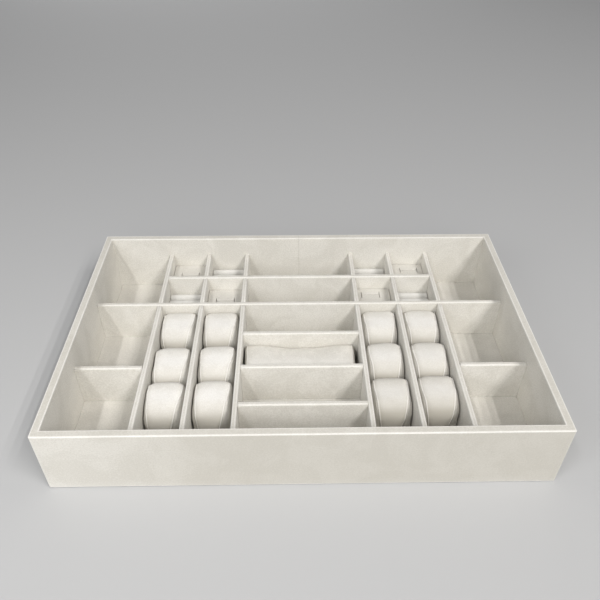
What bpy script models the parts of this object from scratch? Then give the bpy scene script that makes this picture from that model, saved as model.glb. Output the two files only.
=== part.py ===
"""Fabric-covered drawer insert for watches and jewellery, with loose pillows and ring pads.

Metres, +Z up. The origin is the middle of the underside: +X is to the right of a person
standing at the front, +Y is towards the back wall. Every board is modelled with its cover
on it, because the cover is glued to the board and never comes off.
"""

import math

import bmesh
import bpy
from mathutils import Vector

# ---- driving dimensions -------------------------------------------------------------------
WIDTH = 0.600             # tray outside, left to right
DEPTH = 0.389             # tray outside, front to back
HEIGHT = 0.0955           # underside to rim
WALL = 0.0096             # covered outer wall
BOARD = 0.0062            # covered divider or partition
PARTITION_TOP = 0.0674    # left-to-right boards, above the underside
DIVIDER_TOP = 0.0664      # front-to-back boards, a cover's thickness lower
GAP = 0.0003              # between pieces that touch
FIT = 0.0005              # round the pads, which fill their cells

BACKING = 0.0010          # sheet under the tray
BACKING_INSET = 0.0040    # from the tray's outer faces
BASE = 0.0030             # base board
LINING = 0.0014           # covered card on the base board

CENTRE_BAY = 0.1578       # clear width between the two middle dividers
SMALL_COLUMN = 0.0533     # clear width of each watch column
CELLS_DEEP = 6            # equal cells from the front wall to the back wall

WALL_EDGE = 0.0010        # rounding along the rim
BOARD_EDGE = 0.0016       # rounding along a board's top
EDGE_STEPS = 3

PILLOW = Vector((0.0490, 0.0612, 0.0512))
PILLOW_SHIFT = 0.0012     # towards the outer side of its column
PILLOW_BACKS = {          # back face of the second and third pillow in each column
    "outer_left": (-0.0138, -0.0756),
    "inner_left": (-0.0110, -0.0739),
    "inner_right": (-0.0077, -0.0720),
    "outer_right": (-0.0076, -0.0693),
}
BRACELET_SPAN = (-0.0762, 0.0728)
BRACELET_END_HEIGHT = 0.0447
BRACELET_MIDDLE_HEIGHT = 0.0415

RING_PAD_HEIGHT = 0.0330
RING_ROLLS = 4
RING_SLOT = (0.0008, 0.0150)          # width and depth of the slot between two rolls
SLOT_PAD_HEIGHT = 0.0382
SLOT_CUT = 0.0008                     # width of the cuts in a slotted pad
SLOT_DEPTH = 0.0200
SLOT_SPAN = 0.0270                    # between the two cross cuts
SLOT_CROSS = 0.0125                   # length of a cross cut
SLOT_CENTRES = {                      # off the pad's middle, and from the back of its cell
    "left_back": (0.0, 0.0262),
    "left_second": (0.0, 0.0262),
    "right_back": (0.0040, 0.0160),
    "right_second": (-0.0038, 0.0145),
}

# ---- worked out from them -----------------------------------------------------------------
INNER_X = WIDTH / 2 - WALL
INNER_Y = DEPTH / 2 - WALL
BASE_Z = BACKING + GAP
LINING_Z = BASE_Z + BASE + GAP
FLOOR_Z = LINING_Z + LINING
CELL = (2 * INNER_Y - (CELLS_DEEP - 1) * BOARD) / CELLS_DEEP
ROW_PITCH = CELL + BOARD
COLUMN_PITCH = SMALL_COLUMN + BOARD
INNER_DIVIDER_X = (CENTRE_BAY + BOARD) / 2
DIVIDER_XS = [INNER_DIVIDER_X + i * COLUMN_PITCH for i in range(3)]
ROW_A_Y = 2 * ROW_PITCH
ROW_B_Y = ROW_PITCH
LAP_Z = (FLOOR_Z + DIVIDER_TOP) / 2   # height where crossed boards meet in their half laps


# ---- small helpers ------------------------------------------------------------------------
def make_material(name, colour, roughness, metallic=0.0):
    material = bpy.data.materials.new(name)
    material.use_nodes = True
    shader = material.node_tree.nodes["Principled BSDF"]
    shader.inputs["Base Color"].default_value = (*colour, 1.0)
    shader.inputs["Roughness"].default_value = roughness
    shader.inputs["Metallic"].default_value = metallic
    material.diffuse_color = (*colour, 1.0)
    return material


def add_object(name, mesh, material, location=(0, 0, 0)):
    part = bpy.data.objects.new(name, mesh)
    part.location = location
    if material.name not in mesh.materials:
        mesh.materials.append(material)
    bpy.context.scene.collection.objects.link(part)
    return part


def mesh_from(bm, name):
    bmesh.ops.recalc_face_normals(bm, faces=bm.faces)
    mesh = bpy.data.meshes.new(name)
    bm.to_mesh(mesh)
    bm.free()
    mesh.shade_smooth()
    mesh.set_sharp_from_angle(angle=math.radians(35))
    return mesh


def extrude_outline(points, step):
    """A closed prism: the outline's points, and the same points moved by step."""
    bm = bmesh.new()
    face = bm.faces.new([bm.verts.new(p) for p in points])
    made = bmesh.ops.extrude_face_region(bm, geom=[face])
    moved = [v for v in made["geom"] if isinstance(v, bmesh.types.BMVert)]
    bmesh.ops.translate(bm, vec=step, verts=moved)
    return bm


def round_top_edges(bm, top, along, width):
    """Rounds the edges at height top that run along the axis numbered along."""
    edges = []
    for edge in bm.edges:
        low, high = edge.verts
        level = all(abs(v.co.z - top) < 1e-6 for v in edge.verts)
        direction = (high.co - low.co).normalized()
        if level and abs(direction[along]) > 0.7:
            edges.append(edge)
    bmesh.ops.bevel(bm, geom=edges, offset=width, segments=EDGE_STEPS, profile=0.5,
                    affect="EDGES", clamp_overlap=True)


def box_mesh(name, size):
    """A box standing on its own origin, centred in plan."""
    bm = bmesh.new()
    bmesh.ops.create_cube(bm, size=1.0)
    bmesh.ops.scale(bm, vec=size, verts=bm.verts)
    bmesh.ops.translate(bm, vec=(0, 0, size[2] / 2), verts=bm.verts)
    return mesh_from(bm, name)


def arc(centre, radius, start, end, steps):
    """Points on an arc in a (run, height) plane, angles in degrees."""
    points = []
    for i in range(steps + 1):
        angle = math.radians(start + (end - start) * i / steps)
        points.append((centre[0] + radius * math.cos(angle),
                       centre[1] + radius * math.sin(angle)))
    return points


def pillow_outline(front, back, low, high, front_radius, back_radius, foot_radius):
    """Side view of a pillow, anticlockwise from the front foot, as (y, z) points."""
    outline = arc((front + foot_radius, low + foot_radius), foot_radius, 180, 270, 2)
    outline += arc((back - foot_radius, low + foot_radius), foot_radius, 270, 360, 2)
    outline += arc((back - back_radius, high - back_radius), back_radius, 0, 90, 3)
    outline += arc((front + front_radius, high - front_radius), front_radius, 90, 180, 4)
    return outline


def loft(name, sections):
    """A closed body through outlines of equal length; each section is (x, outline)."""
    bm = bmesh.new()
    rings = []
    for x, outline in sections:
        rings.append([bm.verts.new((x, y, z)) for y, z in outline])
    for ring, following in zip(rings, rings[1:]):
        count = len(ring)
        for i in range(count):
            j = (i + 1) % count
            bm.faces.new((ring[i], ring[j], following[j], following[i]))
    bm.faces.new(rings[0])
    bm.faces.new(rings[-1])
    return mesh_from(bm, name)


# ---- tray: base, walls --------------------------------------------------------------------
def build_base(board, suede, paper):
    inset = 2 * BACKING_INSET
    size = (WIDTH - inset, DEPTH - inset, BACKING)
    add_object("underside_cover", box_mesh("underside_cover", size), paper)
    inner = (2 * (INNER_X - GAP), 2 * (INNER_Y - GAP))
    base_mesh = box_mesh("base_board", (*inner, BASE))
    add_object("base_board", base_mesh, board, (0, 0, BASE_Z))
    lining_mesh = box_mesh("floor_lining", (*inner, LINING))
    add_object("floor_lining", lining_mesh, suede, (0, 0, LINING_Z))


def wall_mesh(name, length):
    """A wall along X with its outer face on y = 0, mitred at both ends."""
    half = length / 2
    cut = GAP / math.sqrt(2)
    outline = [
        (-half + cut, 0, 0),
        (half - cut, 0, 0),
        (half - WALL - cut, WALL, 0),
        (-half + WALL + cut, WALL, 0),
    ]
    height = HEIGHT - BASE_Z
    bm = extrude_outline(outline, (0, 0, height))
    round_top_edges(bm, height, 0, WALL_EDGE)
    return mesh_from(bm, name)


def build_walls(suede):
    """Each wall: its length, the side that it stands on, and its turn about Z."""
    walls = {
        "front_wall": (WIDTH, (0, -DEPTH / 2), 0),
        "right_wall": (DEPTH, (WIDTH / 2, 0), 90),
        "back_wall": (WIDTH, (0, DEPTH / 2), 180),
        "left_wall": (DEPTH, (-WIDTH / 2, 0), 270),
    }
    for name, (length, place, turn) in walls.items():
        wall = add_object(name, wall_mesh(name, length), suede, (*place, BASE_Z))
        wall.rotation_euler.z = math.radians(turn)


# ---- dividers and partitions --------------------------------------------------------------
def lapped_board(name, axis, length, top, laps, open_side):
    """A board along X or Y (axis 0 or 1), centred on its origin, from the floor up to top.

    laps are the places of its half-lap slots along it. open_side says whether a slot
    opens at the board's top or at its foot.
    """
    foot = FLOOR_Z + GAP
    half = length / 2
    reach = BOARD / 2 + GAP
    level, stop = (top, LAP_Z - GAP / 2) if open_side == "top" else (foot, LAP_Z + GAP / 2)
    slots = []
    for lap in laps:
        slots += [(lap - reach, level), (lap - reach, stop), (lap + reach, stop),
                  (lap + reach, level)]
    if open_side == "top":
        outline = [(half, foot), (-half, foot), (-half, top), *slots, (half, top)]
    else:
        outline = [(half, top), (-half, top), (-half, foot), *slots, (half, foot)]
    if axis == 0:
        points = [(run, -BOARD / 2, z) for run, z in outline]
        step = (0, BOARD, 0)
    else:
        points = [(-BOARD / 2, run, z) for run, z in outline]
        step = (BOARD, 0, 0)
    bm = extrude_outline(points, step)
    round_top_edges(bm, top, axis, BOARD_EDGE)
    return mesh_from(bm, name)


def build_dividers(suede):
    """Six front-to-back boards. All cross partition B, and the inner ones partition A."""
    names = ["inner", "middle", "outer"]
    for side, sign in (("left", -1), ("right", 1)):
        for place, x in zip(names, DIVIDER_XS):
            laps = [ROW_B_Y] if place == "outer" else [ROW_B_Y, ROW_A_Y]
            name = f"{place}_divider_{side}"
            mesh = lapped_board(name, 1, 2 * (INNER_Y - GAP), DIVIDER_TOP, laps, "top")
            add_object(name, mesh, suede, (sign * x, 0, 0))


def build_partitions(suede):
    """Left-to-right boards: two that cross the dividers and five short ones between them."""
    crossings = [-x for x in reversed(DIVIDER_XS)] + DIVIDER_XS
    long_mesh = lapped_board("long_partition", 0, 2 * (INNER_X - GAP), PARTITION_TOP,
                             crossings, "foot")
    add_object("long_partition", long_mesh, suede, (0, ROW_B_Y, 0))
    back_length = 2 * (DIVIDER_XS[2] - BOARD / 2 - GAP)
    back_mesh = lapped_board("back_partition", 0, back_length, PARTITION_TOP,
                             crossings[1:-1], "foot")
    add_object("back_partition", back_mesh, suede, (0, ROW_A_Y, 0))

    centre_length = CENTRE_BAY - 2 * GAP
    places = (("rear", 0), ("middle", -ROW_PITCH), ("front", -2 * ROW_PITCH))
    for place, y in places:
        name = f"centre_partition_{place}"
        mesh = lapped_board(name, 0, centre_length, PARTITION_TOP, [], "foot")
        add_object(name, mesh, suede, (0, y, 0))

    side_low = DIVIDER_XS[2] + BOARD / 2 + GAP
    side_high = INNER_X - GAP
    for side, sign in (("left", -1), ("right", 1)):
        name = f"side_partition_{side}"
        mesh = lapped_board(name, 0, side_high - side_low, PARTITION_TOP, [], "foot")
        add_object(name, mesh, suede, (sign * (side_low + side_high) / 2, -ROW_PITCH, 0))


# ---- loose pillows and pads ---------------------------------------------------------------
def watch_pillow_mesh():
    """A stuffed block, full in the middle and drawn in at its two side seams."""
    half = PILLOW.x / 2
    draw_in = [(1.00, 0.0042), (0.94, 0.0016), (0.78, 0.0003), (0.40, 0.0)]
    stations = [(-u, d) for u, d in draw_in] + [(u, d) for u, d in reversed(draw_in)]
    sections = []
    for u, inset in stations:
        outline = pillow_outline(-PILLOW.y + inset, -inset, 0.0, PILLOW.z - inset,
                                 0.0200, 0.0060, 0.0060)
        sections.append((u * half, outline))
    return loft("watch_pillow", sections)


def build_watch_pillows(velvet):
    """Three pillows in each of four columns, every one placed by its back lower edge."""
    mesh = watch_pillow_mesh()
    first_back = ROW_B_Y - BOARD / 2 - FIT
    for column, backs in PILLOW_BACKS.items():
        place, side = column.split("_")
        sign = -1 if side == "left" else 1
        inner = place == "inner"
        column_x = (DIVIDER_XS[0] + DIVIDER_XS[1]) / 2 if inner else (
            DIVIDER_XS[1] + DIVIDER_XS[2]) / 2
        for number, back in enumerate((first_back, *backs), start=1):
            name = f"watch_pillow_{column}_{number}"
            spot = (sign * (column_x + PILLOW_SHIFT), back, FLOOR_Z + GAP)
            add_object(name, mesh, velvet, spot)


def build_bracelet_pillow(velvet):
    """A long pillow across the centre bay, with its middle lower than its two ends."""
    left, right = BRACELET_SPAN
    back = -BOARD / 2 - FIT
    front = back - (CELL - 2 * FIT)
    stations = [(0.00, 0.0045, 1.0), (0.02, 0.0012, 1.0), (0.12, 0.0, 1.0), (0.26, 0.0, 0.6),
                (0.50, 0.0, 0.0), (0.74, 0.0, 0.6), (0.88, 0.0, 1.0), (0.98, 0.0012, 1.0),
                (1.00, 0.0045, 1.0)]
    rise = BRACELET_END_HEIGHT - BRACELET_MIDDLE_HEIGHT
    sections = []
    for along, inset, lift in stations:
        height = BRACELET_MIDDLE_HEIGHT + rise * lift - inset
        outline = pillow_outline(front + inset, back - inset, 0.0, height,
                                 0.0140, 0.0060, 0.0060)
        sections.append((left + (right - left) * along, outline))
    mesh = loft("bracelet_pillow", sections)
    add_object("bracelet_pillow", mesh, velvet, (0, 0, FLOOR_Z + GAP))


def ring_pad_mesh():
    """Soft rolls side by side on one foot, with a slot between each two."""
    depth = CELL - 2 * FIT
    slot_width, slot_depth = RING_SLOT
    roll = (depth - (RING_ROLLS - 1) * slot_width) / RING_ROLLS
    radius = roll / 2
    outline = [(0, 0)]
    for i in range(RING_ROLLS):
        front = i * (roll + slot_width)
        foot = RING_PAD_HEIGHT - slot_depth
        if i > 0:
            outline.append((front, foot))
        outline += arc((front + radius, RING_PAD_HEIGHT - radius), radius, 180, 0, 8)
        if i < RING_ROLLS - 1:
            outline.append((front + roll, foot))
    outline.append((depth, 0))
    half = (SMALL_COLUMN - 2 * FIT) / 2
    points = [(-half, y - depth / 2, z) for y, z in outline]
    return mesh_from(extrude_outline(points, (2 * half, 0, 0)), "ring_pad")


def slot_cutter(name, long_cut_y):
    """An H in plan: one long cut with a cross cut at each end, down from the pad's top."""
    end, cross, half = SLOT_SPAN / 2, SLOT_CROSS / 2, SLOT_CUT / 2
    quarter = [(end - half, half), (end - half, cross), (end + half, cross)]
    outline = quarter + [(x, -y) for x, y in reversed(quarter)]
    outline += [(-x, -y) for x, y in quarter] + [(-x, y) for x, y in reversed(quarter)]
    low = SLOT_PAD_HEIGHT - SLOT_DEPTH
    points = [(x, long_cut_y + y, low) for x, y in outline]
    cutter = bpy.data.objects.new(name, mesh_from(
        extrude_outline(points, (0, 0, 2 * SLOT_DEPTH)), name))
    cutter.hide_render = True
    cutter.display_type = "WIRE"
    bpy.context.scene.collection.objects.link(cutter)
    return cutter


def slotted_pad_mesh(name):
    """A foam block that fills its cell, rounded along its four top edges."""
    size = (SMALL_COLUMN - 2 * FIT, CELL - 2 * FIT, SLOT_PAD_HEIGHT)
    bm = bmesh.new()
    bmesh.ops.create_cube(bm, size=1.0)
    bmesh.ops.scale(bm, vec=size, verts=bm.verts)
    bmesh.ops.translate(bm, vec=(0, 0, size[2] / 2), verts=bm.verts)
    top = [e for e in bm.edges if all(v.co.z > size[2] - 1e-6 for v in e.verts)]
    bmesh.ops.bevel(bm, geom=top, offset=0.0022, segments=EDGE_STEPS, profile=0.5,
                    affect="EDGES", clamp_overlap=True)
    return mesh_from(bm, name)


def build_pads(velvet):
    """Four ring-roll pads and four slotted pads, each kind in every other cell."""
    inner_x = (DIVIDER_XS[0] + DIVIDER_XS[1]) / 2
    outer_x = (DIVIDER_XS[1] + DIVIDER_XS[2]) / 2
    back_y = (ROW_A_Y + BOARD / 2 + INNER_Y) / 2
    second_y = (ROW_A_Y + ROW_B_Y) / 2
    ring_spots = {
        "ring_pad_left_back": (-inner_x, back_y),
        "ring_pad_left_second": (-outer_x, second_y),
        "ring_pad_right_back": (inner_x, back_y),
        "ring_pad_right_second": (outer_x, second_y),
    }
    slot_spots = {
        "slotted_pad_left_back": (-outer_x, back_y),
        "slotted_pad_left_second": (-inner_x, second_y),
        "slotted_pad_right_back": (outer_x, back_y),
        "slotted_pad_right_second": (inner_x, second_y),
    }
    foot = FLOOR_Z + GAP
    ring_mesh = ring_pad_mesh()
    for name, (x, y) in ring_spots.items():
        add_object(name, ring_mesh, velvet, (x, y, foot))
    for name, (x, y) in slot_spots.items():
        aside, from_back = SLOT_CENTRES[name.removeprefix("slotted_pad_")]
        cutter = slot_cutter(f"{name}_cutter", CELL / 2 - from_back)
        cutter.location = (x + aside, y, foot)
        pad = add_object(name, slotted_pad_mesh(name), velvet, (x, y, foot))
        cut = pad.modifiers.new("slits", "BOOLEAN")
        cut.operation = "DIFFERENCE"
        cut.solver = "EXACT"
        cut.object = cutter


def main():
    for old in list(bpy.data.objects):
        bpy.data.objects.remove(old, do_unlink=True)
    wall_suede = make_material("ivory_suede_on_walls", (0.76, 0.74, 0.69), 0.90)
    board_suede = make_material("ivory_suede_on_dividers", (0.78, 0.76, 0.71), 0.90)
    floor_suede = make_material("ivory_suede_on_floor", (0.73, 0.71, 0.66), 0.92)
    velvet = make_material("ivory_velvet_on_pillows", (0.84, 0.82, 0.78), 0.85)
    pad_velvet = make_material("ivory_velvet_on_pads", (0.82, 0.80, 0.75), 0.85)
    paper = make_material("ivory_backing_sheet", (0.70, 0.68, 0.63), 0.80)
    board = make_material("grey_base_board", (0.50, 0.42, 0.32), 0.75)
    build_base(board, floor_suede, paper)
    build_walls(wall_suede)
    build_dividers(board_suede)
    build_partitions(board_suede)
    build_watch_pillows(velvet)
    build_bracelet_pillow(velvet)
    build_pads(pad_velvet)


main()
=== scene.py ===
import math

import bmesh
import bpy
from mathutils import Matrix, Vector, noise
from mathutils.kdtree import KDTree


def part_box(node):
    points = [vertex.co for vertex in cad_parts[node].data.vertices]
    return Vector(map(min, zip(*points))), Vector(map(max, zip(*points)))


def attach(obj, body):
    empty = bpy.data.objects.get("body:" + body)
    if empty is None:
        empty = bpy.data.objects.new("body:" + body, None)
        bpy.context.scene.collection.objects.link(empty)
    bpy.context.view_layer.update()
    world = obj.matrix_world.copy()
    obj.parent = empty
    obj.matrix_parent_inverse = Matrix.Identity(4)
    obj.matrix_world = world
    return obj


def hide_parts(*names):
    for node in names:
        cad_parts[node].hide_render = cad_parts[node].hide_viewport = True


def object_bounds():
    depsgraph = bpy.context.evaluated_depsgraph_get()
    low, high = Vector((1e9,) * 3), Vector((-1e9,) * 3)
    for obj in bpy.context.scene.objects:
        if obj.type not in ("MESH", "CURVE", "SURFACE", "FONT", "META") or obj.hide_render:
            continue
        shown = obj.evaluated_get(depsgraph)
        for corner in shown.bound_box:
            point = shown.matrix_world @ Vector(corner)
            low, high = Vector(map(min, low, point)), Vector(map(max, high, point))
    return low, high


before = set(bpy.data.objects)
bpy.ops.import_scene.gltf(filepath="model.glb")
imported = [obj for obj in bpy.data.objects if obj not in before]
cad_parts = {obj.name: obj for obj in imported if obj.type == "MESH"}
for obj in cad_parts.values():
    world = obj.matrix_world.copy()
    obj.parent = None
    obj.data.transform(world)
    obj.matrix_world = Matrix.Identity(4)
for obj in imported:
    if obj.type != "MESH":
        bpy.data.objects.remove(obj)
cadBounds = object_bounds()
print("frame loaded with", len(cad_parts), "nodes")

scene = bpy.context.scene
scene.view_settings.view_transform = "Standard"
trayLow, trayHigh = cadBounds
trayWidth = trayHigh.x - trayLow.x
trayDepth = trayHigh.y - trayLow.y
rimHeight = trayHigh.z
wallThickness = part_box("left_wall")[1].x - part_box("left_wall")[0].x


# camera above and in front of the tray, as someone standing at the drawer sees it
cameraSetup = {
    "lens": 37.0,
    "place": (-0.0141, -0.6172, 0.6380),
    "turn": (50.23, -0.21, -1.005),
}


def placeCamera():
    data = bpy.data.cameras.new("drawerView")
    data.lens = cameraSetup["lens"]
    data.sensor_width = 36.0
    data.clip_start = 0.01
    camera = bpy.data.objects.new("drawerView", data)
    camera.location = cameraSetup["place"]
    camera.rotation_euler = [math.radians(a) for a in cameraSetup["turn"]]
    scene.collection.objects.link(camera)
    scene.camera = camera


# soft studio light: long narrow strips high up, parallel to the tray's sides, two wide
# panels in front and a low one behind; warm is how much blue is left in the light
lampSetup = {
    "rightInnerStrip": {"place": (1.46, -2.50, 3.2), "wide": 0.04, "long": 3.0, "power": 50.0, "warm": 0.95},
    "rightMiddleStrip": {"place": (1.82, -2.50, 3.2), "wide": 0.04, "long": 3.0, "power": 50.0, "warm": 0.95},
    "rightOuterStrip": {"place": (2.16, -2.50, 3.2), "wide": 0.04, "long": 3.0, "power": 38.0, "warm": 0.95},
    "leftStrip": {"place": (-1.25, -2.50, 3.2), "wide": 0.06, "long": 3.0, "power": 50.0, "warm": 0.98},
    "leftPanel": {"place": (-0.85, -0.95, 1.00), "wide": 0.7, "long": 0.7, "power": 5.5, "warm": 0.99},
    "frontPanel": {"place": (0.10, -3.00, 1.70), "wide": 2.4, "long": 1.2, "power": 19.0, "warm": 0.99},
    "backPanel": {"place": (-0.40, 3.00, 0.90), "wide": 2.4, "long": 0.8, "power": 12.0, "warm": 1.0},
}
roomLight = {"tint": (0.99, 0.99, 1.0), "strength": 0.18}


def placeLamps():
    for name, lamp in lampSetup.items():
        data = bpy.data.lights.new(name, "AREA")
        data.shape = "RECTANGLE"
        data.size = lamp["wide"]
        data.size_y = lamp["long"]
        data.energy = lamp["power"]
        data.color = (1.0, 0.5 + lamp["warm"] / 2, lamp["warm"])
        holder = bpy.data.objects.new(name, data)
        holder.location = lamp["place"]
        x, y, z = lamp["place"]
        isStrip = lamp["long"] > 4 * lamp["wide"]
        lean = 0.0 if isStrip else math.atan2(-y, z)    # only a panel also turns to the tray in depth
        holder.rotation_euler = (lean, math.atan2(x, z), 0)
        scene.collection.objects.link(holder)
    world = bpy.data.worlds.new("softRoom")
    world.use_nodes = True
    sky = world.node_tree.nodes["Background"]
    sky.inputs["Color"].default_value = (*roomLight["tint"], 1)
    sky.inputs["Strength"].default_value = roomLight["strength"]
    scene.world = world


# a new node with its inputs set to values or linked to other nodes
def addNode(tree, kind, inputs=None, **settings):
    node = tree.nodes.new(kind)
    for key, value in settings.items():
        setattr(node, key, value)
    for key, value in (inputs or {}).items():
        if isinstance(value, bpy.types.NodeSocket):
            tree.links.new(value, node.inputs[key])
        else:
            node.inputs[key].default_value = value
    return node


# an empty node group with named inputs and outputs
def startGroup(name, takes, gives):
    group = bpy.data.node_groups.new(name, "ShaderNodeTree")
    for socket, (kind, value) in takes.items():
        made = group.interface.new_socket(name=socket, in_out="INPUT", socket_type=kind)
        made.default_value = value
    for socket, kind in gives.items():
        group.interface.new_socket(name=socket, in_out="OUTPUT", socket_type=kind)
    return group, group.nodes.new("NodeGroupInput"), group.nodes.new("NodeGroupOutput")


# one step of arithmetic on values or sockets
def calc(tree, operation, first, second, clamp=False):
    node = tree.nodes.new("ShaderNodeMath")
    node.operation = operation
    node.use_clamp = clamp
    for socket, value in zip(node.inputs, (first, second)):
        if isinstance(value, bpy.types.NodeSocket):
            tree.links.new(value, socket)
        else:
            socket.default_value = value
    return node.outputs[0]


def mixColour(tree, amount, first, second):
    # sockets 0, 6 and 7 are the factor and the two colours
    node = addNode(tree, "ShaderNodeMix", data_type="RGBA")
    for index, value in ((0, amount), (6, first), (7, second)):
        if isinstance(value, bpy.types.NodeSocket):
            tree.links.new(value, node.inputs[index])
        else:
            node.inputs[index].default_value = value
    return node.outputs[2]


# brushed nap: broad patches where the pile leans another way, strokes, and a fine grain
napMake = {
    "patchShare": 0.62, "strokeShare": 0.38, "strokeScale": 5.5, "pileScale": 3.6, "pileAmount": 0.8,
    "grainHeight": 0.55, "pileHeight": 0.45, "polish": 0.07, "patchEdge": (0.36, 0.64),
}


def makeBrushedNap():
    group, given, made = startGroup(
        "brushedNap",
        {
            "Base": ("NodeSocketColor", (0.7, 0.7, 0.7, 1)),
            "Brushed": ("NodeSocketColor", (0.8, 0.8, 0.8, 1)),
            "Patch Scale": ("NodeSocketFloat", 18.0),
            "Patch Amount": ("NodeSocketFloat", 0.5),
            "Grain Scale": ("NodeSocketFloat", 420.0),
            "Grain Amount": ("NodeSocketFloat", 0.3),
            "Roughness": ("NodeSocketFloat", 0.9),
        },
        {"Color": "NodeSocketColor", "Roughness": "NodeSocketFloat", "Height": "NodeSocketFloat"},
    )
    place = addNode(group, "ShaderNodeTexCoord").outputs["Object"]
    take = given.outputs
    patches = addNode(group, "ShaderNodeTexNoise", {
        "Vector": place, "Scale": take["Patch Scale"], "Detail": 3.0, "Roughness": 0.6, "Distortion": 0.9})
    patchMask = addNode(group, "ShaderNodeMapRange", {
        "Value": patches.outputs["Fac"], "From Min": napMake["patchEdge"][0],
        "From Max": napMake["patchEdge"][1]}, interpolation_type="SMOOTHSTEP").outputs["Result"]
    stretch = addNode(group, "ShaderNodeMapping", {
        "Vector": place, "Rotation": (0.35, 0.0, 0.5), "Scale": (1.0, 0.32, 0.55)})
    strokes = addNode(group, "ShaderNodeTexNoise", {
        "Vector": stretch.outputs["Vector"],
        "Scale": calc(group, "MULTIPLY", take["Patch Scale"], napMake["strokeScale"]),
        "Detail": 2.0, "Roughness": 0.5, "Distortion": 0.4}).outputs["Fac"]
    grain = addNode(group, "ShaderNodeTexNoise", {
        "Vector": place, "Scale": take["Grain Scale"], "Detail": 3.0, "Roughness": 0.65}).outputs["Fac"]
    pile = addNode(group, "ShaderNodeTexNoise", {
        "Vector": place, "Scale": calc(group, "MULTIPLY", take["Grain Scale"], napMake["pileScale"]),
        "Detail": 2.0, "Roughness": 0.6}).outputs["Fac"]
    lean = calc(group, "ADD", calc(group, "MULTIPLY", patchMask, napMake["patchShare"]),
                calc(group, "MULTIPLY", strokes, napMake["strokeShare"]))
    leanPart = calc(group, "MULTIPLY", lean, take["Patch Amount"])
    grainPart = calc(group, "MULTIPLY", calc(group, "SUBTRACT", grain, 0.5), take["Grain Amount"])
    pilePart = calc(group, "MULTIPLY", calc(group, "SUBTRACT", pile, 0.5),
                    calc(group, "MULTIPLY", take["Grain Amount"], napMake["pileAmount"]))
    total = calc(group, "ADD", calc(group, "ADD", leanPart, grainPart), pilePart, clamp=True)
    colour = mixColour(group, total, take["Base"], take["Brushed"])
    rough = calc(group, "SUBTRACT", take["Roughness"], calc(group, "MULTIPLY", lean, napMake["polish"]))
    height = calc(group, "ADD", calc(group, "MULTIPLY", grain, napMake["grainHeight"]),
                  calc(group, "MULTIPLY", pile, napMake["pileHeight"]))
    group.links.new(colour, made.inputs["Color"])
    group.links.new(rough, made.inputs["Roughness"])
    group.links.new(height, made.inputs["Height"])
    return group


# lighter, flattened pile where edges rub, with a painted highlight laid over it, and darker pile that is
# painted shade; both masks are stored on the mesh
wearAndHighlightMake = {"patchScale": 150.0, "uneven": 0.8, "least": 0.6}


def makePaintedLightAndWear():
    group, given, made = startGroup(
        "paintedLightAndWear",
        {
            "Color": ("NodeSocketColor", (0.7, 0.7, 0.7, 1)),
            "Worn And Lit": ("NodeSocketColor", (0.9, 0.9, 0.88, 1)),
            "Painted Shade": ("NodeSocketColor", (0.4, 0.38, 0.34, 1)),
            "Amount": ("NodeSocketFloat", 0.6),
        },
        {"Color": "NodeSocketColor"},
    )
    wearAndHighlight = addNode(group, "ShaderNodeAttribute", attribute_name="wearAndHighlight").outputs["Fac"]
    paintedShadeMask = addNode(group, "ShaderNodeAttribute", attribute_name="paintedShadeMask").outputs["Fac"]
    place = addNode(group, "ShaderNodeTexCoord").outputs["Object"]
    broken = addNode(group, "ShaderNodeTexNoise", {
        "Vector": place, "Scale": wearAndHighlightMake["patchScale"], "Detail": 3.0, "Roughness": 0.6}).outputs["Fac"]
    uneven = calc(group, "ADD", calc(group, "MULTIPLY", broken, wearAndHighlightMake["uneven"]), wearAndHighlightMake["least"])
    wornAndLit = calc(group, "MULTIPLY", wearAndHighlight, uneven)
    mask = calc(group, "MULTIPLY", wornAndLit, given.outputs["Amount"], clamp=True)
    wornAndLitColour = mixColour(group, mask, given.outputs["Color"], given.outputs["Worn And Lit"])
    dark = mixColour(group, paintedShadeMask, wornAndLitColour, given.outputs["Painted Shade"])
    group.links.new(dark, made.inputs["Color"])
    return group


napGroup = makeBrushedNap()
paintedLightGroup = makePaintedLightAndWear()


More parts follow.
